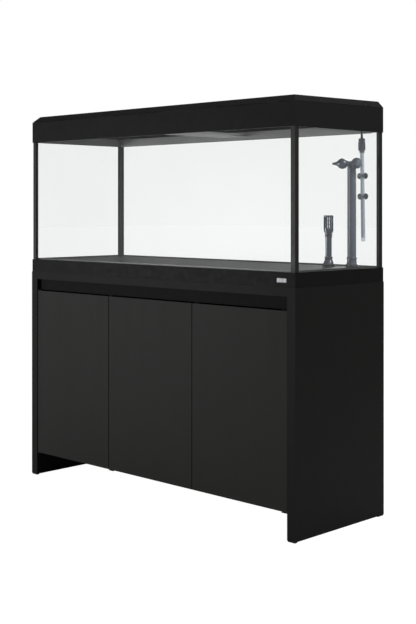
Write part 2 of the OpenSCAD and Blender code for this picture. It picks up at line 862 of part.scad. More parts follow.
// Two lamp bars with clear fronts, hung from the hood's beams
module light_bars() {
    bar = [1120, 34, 16];
    color("#b9bcc0") for (y = [-75, 60]) translate([0, y, light_z]) difference() {
        translate([-bar[0] / 2, -bar[1] / 2, 0]) cube(bar);
        translate([-bar[0] / 2 + 12, -bar[1] / 2 + 4, -1]) cube([bar[0] - 24, bar[1] - 8, 4]);
    }
}

// ---------------------------------------------------------------- filter in the cabinet

// Puts its children on the filter's axis
module on_filter() {
    translate([filter_at[0], filter_at[1], 0]) children();
}

module canister() {
    wall = 3;
    color("#2f3133") on_filter() {
        difference() {
            union() {
                translate([0, 0, canister_z])
                    cylinder(r = canister_r, h = canister_top - canister_z, $fn = 96);
                translate([0, 0, canister_top - 8]) cylinder(r = rim_r, h = 8, $fn = 96);
            }
            translate([0, 0, canister_z + 4])
                cylinder(r = canister_r - wall, h = canister_top - canister_z, $fn = 96);
        }
        for (a = [-90, 90]) rotate(a) clip_lugs();
        for (a = [45 : 90 : 315]) rotate(a)
            translate([canister_r - 20, 0, floor_board_top]) cylinder(r = 8, h = 1.5);
    }
}

// Two lugs on the canister's side with a steel pin between them
module clip_lugs() {
    lug_w = 4;
    for (y = [-20, 16]) span([canister_r - 5, y, clip_z - 7], [clip_r + 4, y + lug_w, clip_z + 7]);
    translate([clip_r, -18, clip_z]) rotate([-90, 0, 0]) cylinder(r = 1.5, h = 36, $fn = 32);
}

// A latch that hooks over the pump head's rim
module clip() {
    plate_top = canister_top + 24 - clip_z;
    translate([clip_r, 0, clip_z]) difference() {
        union() {
            translate([0, -15, 0]) rotate([-90, 0, 0]) cylinder(r = 4, h = 30);
            span([-2, -15, 0], [3, 15, plate_top]);
            span([-9, -15, plate_top - 5], [3, 15, plate_top]);
            span([1, -10, plate_top - 3], [9, 10, plate_top]);
        }
        translate([0, -20, 0]) rotate([-90, 0, 0]) cylinder(r = 1.5 + running_gap, h = 40, $fn = 32);
    }
}

module clip_front() { color("#55585c") on_filter() rotate(-90) clip(); }
module clip_back() { color("#55585c") on_filter() rotate(90) clip(); }

// The head holds the motor, the rotor's well, its shaft, and the two ports
module pump_head() {
    flange_h = 18;
    well_r = rotor_r + 0.8;
    well_top = canister_top + 40;
    color("#3a3d40") on_filter() {
        difference() {
            union() {
                translate([0, 0, canister_top]) cylinder(r = rim_r, h = flange_h, $fn = 96);
                translate([0, 0, canister_top + flange_h])
                    cylinder(r1 = canister_r, r2 = canister_r - 22, h = head_h - flange_h, $fn = 96);
            }
            translate([0, 0, canister_top - 1]) cylinder(r = well_r, h = well_top - canister_top);
            translate([0, canister_r - 12, canister_top + 34]) rotate([-90, 0, 0]) cylinder(r = 4, h = 30);
        }
        translate([0, 0, impeller_z - 2]) cylinder(r = 1.2, h = well_top - impeller_z + 3, $fn = 24);
    }
}

module impeller() {
    blades = 5;
    color("#d8d8d4") on_filter() difference() {
        union() {
            translate([0, 0, impeller_z + 17]) cylinder(r = rotor_r, h = 34);
            translate([0, 0, impeller_z]) cylinder(r = 5, h = 18);
            for (i = [0 : blades - 1]) rotate(i * 360 / blades)
                span([4, -0.8, impeller_z], [22, 0.8, impeller_z + 12]);
        }
        translate([0, 0, impeller_z - 5]) cylinder(r = 1.2 + running_gap, h = 60, $fn = 24);
    }
}

// Three stacked baskets inside the canister
module media_baskets() {
    basket_r = canister_r - 6;
    basket_h = 72;
    color("#6b6f73") on_filter() for (i = [0 : 2])
        translate([0, 0, canister_z + 12 + i * (basket_h + 2)]) difference() {
            cylinder(r = basket_r, h = basket_h);
            translate([0, 0, 3]) cylinder(r = basket_r - 2.5, h = basket_h);
            for (a = [0 : 30 : 330], r = [25, 45, 65]) rotate(a + r)
                translate([r, 0, -1]) cylinder(r = 3, h = 6, $fn = 16);
        }
}

// Valve block with two hose ports, clipped on top of the head
module hose_adaptor() {
    block = [86, 44, 30];
    color("#33363a") on_filter() {
        difference() {
            translate([-block[0] / 2, -block[1] / 2, head_top]) cube(block);
            for (x = port_xs) translate([x, 0, head_top + 2]) cylinder(r = 7, h = 40);
        }
        for (x = port_xs) translate([x, 0, head_top + block[2]]) difference() {
            cylinder(r = hose_r, h = port_top - head_top - block[2]);
            translate([0, 0, -1]) cylinder(r = 7, h = 60);
        }
        translate([0, -block[1] / 2 - 12, head_top + 15]) rotate([-90, 0, 0])
            cylinder(r = 2, h = 13, $fn = 32);
    }
}

// The tap lever, which lies flat when the valves are open
module adaptor_lever() {
    hub_y = -22 - 11;
    color("#a33b32") on_filter() translate([0, hub_y, head_top + 15]) difference() {
        union() {
            rotate([-90, 0, 0]) cylinder(r = 7, h = 10);
            span([0, 1, -5], [38, 9, 5]);
        }
        translate([0, -5, 0]) rotate([-90, 0, 0]) cylinder(r = 2 + running_gap, h = 20, $fn = 32);
    }
}

// A smooth S between two upright ends
function hose_route(a, b) = let (up = [0, 0, 4]) concat([a], s_curve(a - up, b + up, 18), [b]);
function s_curve(a, b, n) = [for (i = [0 : n])
    let (t = i / n, s = (1 - cos(180 * t)) / 2) [a[0] + (b[0] - a[0]) * s, a[1] + (b[1] - a[1]) * s,
        a[2] + (b[2] - a[2]) * t]];

module hoses() {
    ends = [inlet_at, outlet_at];
    color("#2d302f") for (i = [0, 1])
        swept_tube(hose_route([ends[i][0], ends[i][1], tail_z],
            [filter_at[0] + port_xs[i], filter_at[1], port_top]), hose_r, 12, [1, 0, 0]);
}

// ---------------------------------------------------------------- output

side_panel_left();
side_panel_right();
top_board();
bottom_board();
partitions();
grip_rail();
back_panel();
shelves();
shelf_pins();
panel_glides();
centre_feet();
pivot_plates();
door_catches();
door_left();
door_middle();
door_right();
door_left_fittings();
door_middle_fittings();
door_right_fittings();
base_frame();
badge_plate();
bottom_pane();
front_pane();
back_pane();
left_pane();
right_pane();
corner_seams();
corner_trims();
floor_seams();
rim_trim();
centre_brace();
bulkheads();
inlet_pipe();
inlet_strainer();
outlet_riser();
outlet_head();
nozzle_left();
nozzle_right();
heater_tube();
heater_core();
heater_cap();
heater_dial();
heater_holders();
heater_cord();
heater_cord_coil();
heater_plug();
lid_frame();
light_bars();
flap_left();
flap_middle();
flap_right();
canister();
pump_head();
media_baskets();
clip_front();
clip_back();
impeller();
hose_adaptor();
adaptor_lever();
hoses();
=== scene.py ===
"""Looks for the aquarium on its cabinet: materials, detailed pieces, floor, lights and camera."""
import json
import math

import bmesh
import bpy
from mathutils import Matrix, Vector


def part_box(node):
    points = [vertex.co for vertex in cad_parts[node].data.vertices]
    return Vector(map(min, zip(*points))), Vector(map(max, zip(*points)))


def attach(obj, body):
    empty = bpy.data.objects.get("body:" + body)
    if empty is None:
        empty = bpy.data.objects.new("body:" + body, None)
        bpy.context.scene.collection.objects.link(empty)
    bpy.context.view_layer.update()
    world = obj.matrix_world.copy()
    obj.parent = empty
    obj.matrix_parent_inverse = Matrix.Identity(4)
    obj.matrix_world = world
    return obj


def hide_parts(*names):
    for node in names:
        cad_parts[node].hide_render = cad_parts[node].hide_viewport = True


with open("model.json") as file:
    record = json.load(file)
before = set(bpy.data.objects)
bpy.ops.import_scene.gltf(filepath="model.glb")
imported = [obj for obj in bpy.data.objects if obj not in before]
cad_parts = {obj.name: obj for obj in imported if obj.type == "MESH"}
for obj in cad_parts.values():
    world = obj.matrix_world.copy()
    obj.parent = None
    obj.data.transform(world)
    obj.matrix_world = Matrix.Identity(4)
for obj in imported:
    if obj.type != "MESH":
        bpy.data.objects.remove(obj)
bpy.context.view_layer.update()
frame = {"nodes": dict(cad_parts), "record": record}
NODES = frame["nodes"]
MM = 0.001


# ------------------------------------------------------------------ camera

CAMERA_AT = (2.6776, -2.6593, 0.9363)
CAMERA_YAW = 44.55
LENS = 66.375
SENSOR = 36.0
SHIFT_DOWN = 0.167628


def make_camera():
    """A level camera at the height of its horizon, framed lower by a lens shift."""
    data = bpy.data.cameras.new("camera")
    data.sensor_width = SENSOR
    data.lens = LENS
    data.shift_y = -SHIFT_DOWN
    data.clip_end = 100
    obj = bpy.data.objects.new("camera", data)
    obj.location = CAMERA_AT
    obj.rotation_euler = (math.radians(90), 0, math.radians(CAMERA_YAW))
    bpy.context.scene.collection.objects.link(obj)
    bpy.context.scene.camera = obj


make_camera()


# ------------------------------------------------------------------ mesh helpers

def link(obj):
    bpy.context.scene.collection.objects.link(obj)
    return obj


def from_bmesh(name, bm, smooth=35):
    """A new object from a bmesh in millimetres, smooth below an edge angle in degrees."""
    mesh = bpy.data.meshes.new(name)
    bmesh.ops.scale(bm, vec=(MM, MM, MM), verts=bm.verts)
    bmesh.ops.recalc_face_normals(bm, faces=bm.faces)
    bm.to_mesh(mesh)
    bm.free()
    for face in mesh.polygons:
        face.use_smooth = smooth > 0
    if smooth > 0:
        mesh.set_sharp_from_angle(angle=math.radians(smooth))
    return link(bpy.data.objects.new(name, mesh))


def polar(radius, angle, z):
    return Vector((radius * math.cos(angle), radius * math.sin(angle), z))


def turned(base, count, start=0.0):
    """The transform base, turned about its own Z in equal steps."""
    return [base @ Matrix.Rotation(2 * math.pi * (i + start) / count, 4, "Z")
            for i in range(count)]


def join_rings(bm, rings):
    """Adds the faces between closed rings that have the same number of points."""
    for low, high in zip(rings, rings[1:]):
        for i in range(len(low)):
            j = (i + 1) % len(low)
            bm.faces.new([low[i], low[j], high[j], high[i]])


def close_ends(bm, rings):
    bm.faces.new(rings[0][::-1])
    bm.faces.new(rings[-1])


def spin_profile(bm, profile, steps=48, at=(0, 0, 0), turn=None):
    """Adds a solid of revolution about Z. The profile is (radius, height) pairs."""
    rings = []
    matrix = Matrix.Translation(at) @ (turn if turn is not None else Matrix.Identity(4))
    for radius, height in profile:
        if radius < 1e-6:
            rings.append([bm.verts.new(matrix @ Vector((0, 0, height)))])
            continue
        rings.append([bm.verts.new(matrix @ polar(radius, 2 * math.pi * i / steps, height))
                      for i in range(steps)])
    for low, high in zip(rings, rings[1:]):
        for i in range(steps):
            j = (i + 1) % steps
            corners = [low[i % len(low)], low[j % len(low)],
                       high[j % len(high)], high[i % len(high)]]
            unique = list(dict.fromkeys(corners))
            if len(unique) > 2:
                bm.faces.new(unique)


def lathe(name, profile, steps=48, at=(0, 0, 0), turn=None, smooth=35):
    bm = bmesh.new()
    spin_profile(bm, profile, steps, at, turn)
    return from_bmesh(name, bm, smooth)


def add_box(bm, low, high, bevel=0.0, segments=2, turn=None):
    """Adds a box with rounded edges."""
    low, high = Vector(low), Vector(high)
    made = bmesh.ops.create_cube(bm, size=1.0)["verts"]
    for vert in made:
        vert.co = Vector((
            low.x + (vert.co.x + 0.5) * (high.x - low.x),
            low.y + (vert.co.y + 0.5) * (high.y - low.y),
            low.z + (vert.co.z + 0.5) * (high.z - low.z)))
        if turn is not None:
            vert.co = turn @ vert.co
    if bevel > 0:
        edges = list({edge for vert in made for edge in vert.link_edges})
        bmesh.ops.bevel(bm, geom=edges, offset=bevel, segments=segments, affect="EDGES",
                        profile=0.5, clamp_overlap=True)


def add_plate(bm, size, radius, low, high, turn=Matrix.Identity(4), ease=0.0, steps=6):
    """Adds a plate with round corners between two heights, its top edge eased."""
    width, depth = size
    layers = [(0, low), (0, high)] if ease == 0 else [(0, low), (0, high - ease), (ease, high)]
    rings = []
    for inset, z in layers:
        ring = []
        for corner, (sx, sy) in enumerate(((1, 1), (-1, 1), (-1, -1), (1, -1))):
            for i in range(steps + 1):
                angle = math.radians(90 * (corner + i / steps))
                bend = radius - inset
                ring.append(bm.verts.new(turn @ Vector((
                    sx * (width / 2 - radius) + bend * math.cos(angle),
                    sy * (depth / 2 - radius) + bend * math.sin(angle), z))))
        rings.append(ring)
    join_rings(bm, rings)
    close_ends(bm, rings)


def smooth_points(points, per_span=6):
    """A smooth curve through the points, as a denser list."""
    pts = [Vector(p) for p in points]
    spans = [b - a for a, b in zip(pts, pts[1:])]
    headings = [spans[0].normalized()]
    for before, after in zip(spans, spans[1:]):
        headings.append((before.normalized() / before.length
                         + after.normalized() / after.length).normalized())
    headings.append(spans[-1].normalized())
    out = []
    for i, span in enumerate(spans):
        for k in range(per_span):
            t = k / per_span
            pull = t * (1 - t) * span.length
            out.append(pts[i].lerp(pts[i + 1], t * t * (3 - 2 * t))
                       + headings[i] * pull * (1 - t) - headings[i + 1] * pull * t)
    out.append(pts[-1])
    return out


def sweep(bm, points, radius, sides=16):
    """Adds a tube along points. radius is one number or one for each point."""
    pts = [Vector(p) for p in points]
    radii = radius if isinstance(radius, (list, tuple)) else [radius] * len(pts)
    across = None
    rings = []
    for i, point in enumerate(pts):
        along = (pts[min(i + 1, len(pts) - 1)] - pts[max(i - 1, 0)]).normalized()
        if across is None:
            across = along.orthogonal().normalized()
        across = (across - along * across.dot(along)).normalized()
        other = along.cross(across)
        rings.append([bm.verts.new(point + radii[i] * (
            math.cos(2 * math.pi * k / sides) * across + math.sin(2 * math.pi * k / sides) * other))
            for k in range(sides)])
    join_rings(bm, rings)
    close_ends(bm, rings)


def bevel_node(name, width, segments=2, angle=40):
    """Rounds the edges of a CAD node by a modifier, which leaves its mesh as it is."""
    obj = NODES[name]
    for face in obj.data.polygons:
        face.use_smooth = True
    obj.data.set_sharp_from_angle(angle=math.radians(35))
    mod = obj.modifiers.new("edge", "BEVEL")
    mod.width = width
    mod.segments = segments
    mod.limit_method = "ANGLE"
    mod.angle_limit = math.radians(angle)
    mod.harden_normals = True


# ------------------------------------------------------------------ material helpers

class Look:
    """A Principled material with a few procedural layers on it."""

    def __init__(self, name, colour, roughness, **inputs):
        self.material = bpy.data.materials.new(name)
        self.material.use_nodes = True
        self.tree = self.material.node_tree
        self.shader = self.tree.nodes["Principled BSDF"]
        self.colour = colour
        self.shader.inputs["Base Color"].default_value = (*colour, 1)
        self.shader.inputs["Roughness"].default_value = roughness
        self.roughness = roughness
        for key, value in inputs.items():
            socket = key.replace("_", " ").title().replace("Ior", "IOR")
            self.shader.inputs[socket].default_value = value
        self.bump = None
        self.place = self.node("ShaderNodeTexCoord").outputs["Object"]

    def node(self, kind, **values):
        made = self.tree.nodes.new(kind)
        for key, value in values.items():
            if key in made.inputs:
                made.inputs[key].default_value = value
            else:
                setattr(made, key, value)
        return made

    def join(self, a, b):
        self.tree.links.new(a, b)

    def stretched(self, scale):
        """Object coordinates multiplied along each axis."""
        mapping = self.node("ShaderNodeMapping")
        mapping.inputs["Scale"].default_value = scale
        self.join(self.place, mapping.inputs["Vector"])
        return mapping.outputs["Vector"]

    def noise(self, scale, detail=3.0, stretch=None):
        made = self.node("ShaderNodeTexNoise", Scale=scale, Detail=detail)
        self.join(self.stretched(stretch) if stretch else self.place, made.inputs["Vector"])
        return made.outputs["Fac"]

    def cells(self, scale, stretch=None):
        made = self.node("ShaderNodeTexVoronoi", Scale=scale)
        self.join(self.stretched(stretch) if stretch else self.place, made.inputs["Vector"])
        return made.outputs["Distance"]

    def ramp(self, value, low, high, start=0.35, end=0.65):
        made = self.node("ShaderNodeMapRange")
        made.inputs["From Min"].default_value = start
        made.inputs["From Max"].default_value = end
        made.inputs["To Min"].default_value = low
        made.inputs["To Max"].default_value = high
        self.join(value, made.inputs["Value"])
        return made.outputs["Result"]

    def vary_colour(self, value, factor_low, factor_high, start=0.35, end=0.65):
        """Multiplies the colour so far by a factor that follows a texture."""
        factor = self.ramp(value, factor_low, factor_high, start, end)
        mix = self.node("ShaderNodeVectorMath", operation="SCALE")
        socket = self.shader.inputs["Base Color"]
        if socket.is_linked:
            self.join(socket.links[0].from_socket, mix.inputs[0])
        else:
            mix.inputs[0].default_value = self.colour
        self.join(factor, mix.inputs["Scale"])
        self.join(mix.outputs["Vector"], socket)

    def vary_roughness(self, value, spread, start=0.35, end=0.65):
        result = self.ramp(value, self.roughness - spread, self.roughness + spread, start, end)
        self.join(result, self.shader.inputs["Roughness"])

    def relief(self, value, distance, strength=1.0):
        """Adds a bump layer. distance is its depth in metres."""
        made = self.node("ShaderNodeBump")
        made.inputs["Distance"].default_value = distance
        made.inputs["Strength"].default_value = strength
        self.join(value, made.inputs["Height"])
        if self.bump is not None:
            self.join(self.bump, made.inputs["Normal"])
        self.bump = made.outputs["Normal"]
        self.join(self.bump, self.shader.inputs["Normal"])


def moulded(name, colour, roughness=0.5, grain=1.0, **inputs):
    """Moulded plastic: a fine spark-eroded grain and a faint mottle."""
    look = Look(name, colour, roughness, **inputs)
    look.vary_colour(look.noise(14, 4), 0.97, 1.03)
    look.vary_roughness(look.noise(60, 4), 0.03)
    look.relief(look.noise(900, 2), 0.00004 * grain)
    return look.material


def laminate(name, colour, roughness=0.5, along=(1, 1, 0.06), **inputs):
    """Black laminate: a faint pore pattern drawn out along the board."""
    look = Look(name, colour, roughness, **inputs)
    pores = look.noise(420, 5, along)
    look.vary_colour(pores, 0.97, 1.03)
    look.vary_colour(look.noise(3.5, 2), 0.98, 1.02)
    look.vary_roughness(look.noise(35, 3, along), 0.01)
    look.relief(pores, 0.00002)
    look.relief(look.cells(1500), 0.00002)
    return look.material


def rubber(name, colour, roughness=0.6, **inputs):
    look = Look(name, colour, roughness, **inputs)
    look.vary_colour(look.noise(90, 4), 0.85, 1.15)
    look.relief(look.noise(700, 3), 0.00005)
    return look.material


def metal(name, colour, roughness=0.3, stretch=(1, 1, 40), **inputs):
    """Brushed or plated metal."""
    look = Look(name, colour, roughness, metallic=1.0, **inputs)
    lines = look.noise(60, 4, stretch)
    look.vary_roughness(lines, 0.1)
    look.vary_colour(look.noise(25, 3), 0.9, 1.08)
    look.relief(lines, 0.00002)
    return look.material


def clear(name, tint, haze=0.0, smear=0.008):
    """Flat glass that neither bends what is behind it nor shades what is inside."""
    look = Look(name, tuple(c * 0.85 for c in tint), 0.22, specular_ior_level=0.6)
    through = look.node("ShaderNodeBsdfTransparent")
    through.inputs["Color"].default_value = (*tint, 1)
    edge_on = look.node("ShaderNodeLayerWeight", Blend=0.5).outputs["Facing"]
    steep = look.node("ShaderNodeMath", operation="POWER")
    steep.inputs[1].default_value = 5.0
    look.join(edge_on, steep.inputs[0])
    share = look.node("ShaderNodeMapRange")
    share.inputs["To Min"].default_value = GLASS_REFLECTANCE + haze
    look.join(steep.outputs["Value"], share.inputs["Value"])
    film = look.ramp(look.noise(6, 3), 0, smear, 0.3, 0.7)
    total = look.node("ShaderNodeMath", operation="ADD", use_clamp=True)
    look.join(share.outputs["Result"], total.inputs[0])
    look.join(film, total.inputs[1])
    mix = look.node("ShaderNodeMixShader")
    look.join(total.outputs["Value"], mix.inputs["Fac"])
    look.join(through.outputs["BSDF"], mix.inputs[1])
    look.join(look.shader.outputs["BSDF"], mix.inputs[2])
    look.join(mix.outputs["Shader"], look.tree.nodes["Material Output"].inputs["Surface"])
    return look.material


GLASS_REFLECTANCE = 0.018

LOOKS = {
    "board_black": laminate("board_black", (0.0068, 0.0068, 0.0066), 0.52, specular_ior_level=0.08),
    "door_black": laminate("door_black", (0.0138, 0.0138, 0.0130), 0.55, specular_ior_level=0.12),
    "edge_black": laminate("edge_black", (0.0042, 0.0042, 0.0041), 0.6, (1, 1, 1),
                           specular_ior_level=0.06),
    "post_grey": moulded("post_grey", (0.0085, 0.0085, 0.0085), 0.42, specular_ior_level=0.2),
    "trim_black": moulded("trim_black", (0.0044, 0.0044, 0.0044), 0.5, specular_ior_level=0.07),
    "hood_black": moulded("hood_black", (0.0075, 0.0075, 0.0076), 0.52, 1.2,
                          specular_ior_level=0.08),
    "glide_black": rubber("glide_black", (0.012, 0.012, 0.012)),
    "foot_black": moulded("foot_black", (0.014, 0.014, 0.014)),
    "hinge_steel": moulded("hinge_steel", (0.006, 0.006, 0.0064), 0.6, specular_ior_level=0.05),
    "plate_steel": metal("plate_steel", (0.5, 0.5, 0.5), 0.32),
    "catch_grey": moulded("catch_grey", (0.035, 0.035, 0.037)),
    "badge_metal": metal("badge_metal", (0.26, 0.26, 0.27), 0.5, (40, 1, 1)),
    "tank_glass": clear("tank_glass", (0.975, 0.98, 0.977)),
    "floor_glass": moulded("floor_glass", (0.021, 0.0217, 0.0223), 0.4, 0.15,
                           specular_ior_level=0.25),
    "silicone_black": rubber("silicone_black", (0.045, 0.045, 0.046), 0.38),
    "rim_grey": moulded("rim_grey", (0.27, 0.272, 0.270), 0.5),
    "equipment_grey": moulded("equipment_grey", (0.094, 0.113, 0.150), 0.24, 0.12,
                              coat_weight=0.7, coat_roughness=0.16),
    "heater_glass": clear("heater_glass", (0.90, 0.94, 0.98), 0.3),
    "heater_ceramic": moulded("heater_ceramic", (0.66, 0.71, 0.77), 0.6),
    "cup_rubber": rubber("cup_rubber", (0.062, 0.070, 0.088), 0.4),
    "cord_black": rubber("cord_black", (0.018, 0.018, 0.018), 0.5),
    "plug_black": moulded("plug_black", (0.016, 0.016, 0.016), 0.45),
    "lamp_silver": metal("lamp_silver", (0.6, 0.61, 0.62), 0.35, (1, 40, 40)),
    "filter_dark": moulded("filter_dark", (0.022, 0.024, 0.027), 0.45),
    "filter_head": moulded("filter_head", (0.035, 0.037, 0.041), 0.4),
    "basket_grey": moulded("basket_grey", (0.12, 0.13, 0.14), 0.5),
    "clip_grey": moulded("clip_grey", (0.07, 0.073, 0.078), 0.42),
    "impeller_white": moulded("impeller_white", (0.7, 0.7, 0.67), 0.45),
    "lever_red": moulded("lever_red", (0.36, 0.03, 0.022), 0.35),
    "hose_green": rubber("hose_green", (0.022, 0.026, 0.025), 0.35),
}


def paint_cad_nodes():
    """Gives each CAD node the look of its material slot."""
    for part in frame["record"]["subparts"]:
        obj = NODES[part["node"]]
        obj.data.materials.clear()
        obj.data.materials.append(LOOKS[part["material_slot"]])


def dress(obj, slot_name, body="root", stands_for=()):
    """Gives a new piece the look of its slot and its body, and hides the nodes that it stands for.
    """
    obj.data.materials.clear()
    obj.data.materials.append(LOOKS[slot_name])
    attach(obj, body)
    if stands_for:
        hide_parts(*stands_for)
    return obj


paint_cad_nodes()

EDGE_WIDTHS = {
    "side_panel_left": 0.9, "side_panel_right": 0.9, "top_board": 0.9, "bottom_board": 0.8,
    "partitions": 0.8, "grip_rail": 0.6, "back_panel": 0.3, "shelves": 0.8, "door_left": 0.8,
    "door_middle": 0.8, "door_right": 0.8, "base_frame": 0.8, "bottom_pane": 0.5, "front_pane": 0.6,
    "back_pane": 0.6, "left_pane": 0.6, "right_pane": 0.6, "centre_brace": 0.8, "rim_trim": 0.4,
    "lid_frame": 0.7, "flap_left": 0.7, "flap_middle": 0.7, "flap_right": 0.7, "panel_glides": 0.5,
    "door_catches": 1.0, "pivot_plates": 0.4, "clip_front": 0.8, "clip_back": 0.8,
    "adaptor_lever": 1.0, "corner_trims": 1.0, "media_baskets": 0.3, "impeller": 0.3,
    "pump_head": 1.0, "hose_adaptor": 1.2, "canister": 0.8, "bulkheads": 0.5,
}
for node_name, edge_mm in EDGE_WIDTHS.items():
    bevel_node(node_name, edge_mm * MM)


# ------------------------------------------------------------------ places, in millimetres

def box_mm(node):
    low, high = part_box(node)
    return Vector(low) / MM, Vector(high) / MM


def middle_of(node):
    low, high = box_mm(node)
    return (low + high) / 2


def joint_place(name):
    """A joint's point in millimetres and its axis."""
    for joint in frame["record"]["behaviour"]["joints"]:
        if joint["name"] == name:
            return Vector(joint["pos_m"]) / MM, Vector(joint["axis"])
    raise KeyError(name)


def facing(axis, at=(0, 0, 0)):
    """A transform that puts Z along an axis and the origin at a point."""
    turn = Vector(axis).to_track_quat("Z", "Y").to_matrix().to_4x4()
    return Matrix.Translation(at) @ turn


# ------------------------------------------------------------------ heater cord

CORD_D = 5.0
COIL_AT = (505, 262)
OUTER_TURN, INNER_TURN, TOP_TURN = 30.0, 25.0, 27.5
FLOOR_LAYER, TOP_LAYER, CROSSING_LAYER = 2.55, 6.9, 7.65
COIL_END = 810
CORD_ROUTE = [
    (541.15, 182, 1168), (541.2, 182.3, 1174), (542.6, 183.2, 1183), (547.5, 185.2, 1191.5),
    (555, 188, 1197), (563.5, 191.5, 1199.5), (570.5, 196.5, 1200), (575.3, 203.5, 1197.5),
    (577, 211, 1191), (577, 217, 1181), (577, 220, 1168), (577, 221, 1150), (577, 221, 1000),
    (577, 221, 850), (577, 221, 700), (577, 221, 550), (577, 221, 400), (577, 221, 250),
    (577, 221, 120), (577, 221, 60), (576, 222, 35), (573, 225, 18), (567, 230, 7),
    (559, 235, 3), (548, 239, 2.6), (539, 248, 2.6), (535, 262, 2.6)]
TAIL_ROUTE = [(505, 289.5, 6.9), (495, 289.5, 6.9), (484, 288, 6.9), (474, 286, 7)]


def eased(value, start, end):
    """0 before start, 1 after end, and a smooth step between."""
    t = min(max((value - start) / (end - start), 0), 1)
    return t * t * (3 - 2 * t)


def coil_turns(step=12):
    """Two turns side by side on the floor, and the start of a third on top of them."""
    points = []
    for angle in range(step, COIL_END, step):
        inward = eased(angle, 296, 356)
        climb = eased(angle, 590, 655)
        crossing = eased(angle, 640, 662) - eased(angle, 712, 735)
        radius = OUTER_TURN + (INNER_TURN - OUTER_TURN) * inward + (TOP_TURN - INNER_TURN) * climb
        height = (FLOOR_LAYER + (TOP_LAYER - FLOOR_LAYER) * climb
                  + (CROSSING_LAYER - TOP_LAYER) * crossing)
        turn = math.radians(angle)
        points.append((COIL_AT[0] + radius * math.cos(turn), COIL_AT[1] + radius * math.sin(turn),
                       height))
    return points


def make_plug():
    """A moulded two-pin plug lying flat, with a ribbed relief where the cord goes in."""
    low, high = box_mm("heater_plug")
    mid_y, mid_z = (low.y + high.y) / 2, high.z / 2
    pin_length, pin_offset = 19, 8.75
    back, front = high.x, low.x + pin_length
    sides, squareness = 32, 2 / 3.6
    stations = [(back + 1, 3.6, 3.4), (back - 1.5, 5.0, 4.6), (back - 9, 6.4, 5.2),
                (back - 15, 11.4, 6.2), (back - 18, 12.7, 6.6), (front + 9, 13.0, 6.7),
                (front + 1.2, 12.8, 6.7), (front, 11.8, 5.8)]
    bm = bmesh.new()
    rings = []
    for x, half_w, half_h in stations:
        ring = []
        for i in range(sides):
            angle = 2 * math.pi * i / sides
            c, s = math.cos(angle), math.sin(angle)
            ring.append(bm.verts.new((
                x, mid_y + half_w * math.copysign(abs(c) ** squareness, c),
                mid_z + half_h * math.copysign(abs(s) ** squareness, s))))
        rings.append(ring)
    join_rings(bm, rings)
    close_ends(bm, rings)
    grips = 5
    for i in range(grips):
        x = back - 19 - i * 2.6
        for side in (-1, 1):
            y = mid_y + side * 12.9
            add_box(bm, (x - 0.6, y - 0.5, mid_z - 4), (x + 0.6, y + 0.5, mid_z + 4), 0.4)
    body = dress(from_bmesh("heater_plug_body", bm, 50), "plug_black", "root", ["heater_plug"])
    bm = bmesh.new()
    for side in (-1, 1):
        pin = [(1.95, -3), (1.95, 15.5), (2.0, 16), (2.0, 17.6), (1.5, 18.7), (0, pin_length)]
        at = (front, mid_y + side * pin_offset, mid_z)
        spin_profile(bm, pin, 24, turn=facing((-1, 0, 0), at))
    pins = dress(from_bmesh("heater_plug_pins", bm), "plate_steel")
    return [body, pins]


def make_cord():
    path = smooth_points(CORD_ROUTE + coil_turns() + TAIL_ROUTE, 3)
    bm = bmesh.new()
    sweep(bm, path, CORD_D / 2, 14)
    cord = dress(from_bmesh("heater_cord_run", bm, 60), "cord_black", "root",
                 ["heater_cord", "heater_cord_coil"])
    make_plug()


make_cord()


# ------------------------------------------------------------------ filter pipes in the tank

PIPE_STEPS = 64


def foot_profile(radius, top):
    """A pipe's outside from its flared foot up, as the moulding is rounded."""
    return [(13.5, 0), (17.0, 0), (17.6, 0.6), (17.6, 3.6), (17.0, 4.4), (15.8, 4.8), (15.4, 7),
            ((15.4 + radius) / 2 + 0.2, 12.5), (radius + 1.4, 18), (radius + 2.6, 18.6),
            (radius + 2.9, 19.3), (radius + 2.9, 23.6), (radius + 2.4, 24.4),
            (radius + 0.1, 24.8), (radius, 25.4), (radius, top)]


def make_inlet():
    low, high = box_mm("inlet_pipe")
    mid = middle_of("inlet_pipe")
    height = high.z - low.z
    radius, wall, swell = 9.6, 2, 2.4
    collars = ((20, 15.5), (13.5, 9))
    profile = foot_profile(radius, height - 20)
    for low_z, high_z in collars:
        profile += [(radius + swell - 0.6, height - low_z + 0.3),
                    (radius + swell, height - low_z + 1),
                    (radius + swell, height - high_z - 1),
                    (radius + swell - 0.6, height - high_z - 0.3),
                    (radius + 0.6, height - high_z)]
    profile += [(radius + 0.6, height - 6.4), (radius + 3.4, height - 5.6),
                (radius + 4.4, height - 4.6), (radius + 4.4, height),
                (radius - wall, height), (radius - wall, 0.6), (13.5, 0)]
    pipe = lathe("inlet_pipe_turned", profile, PIPE_STEPS, (mid.x, mid.y, low.z))
    dress(pipe, "equipment_grey", "root", ["inlet_pipe"])


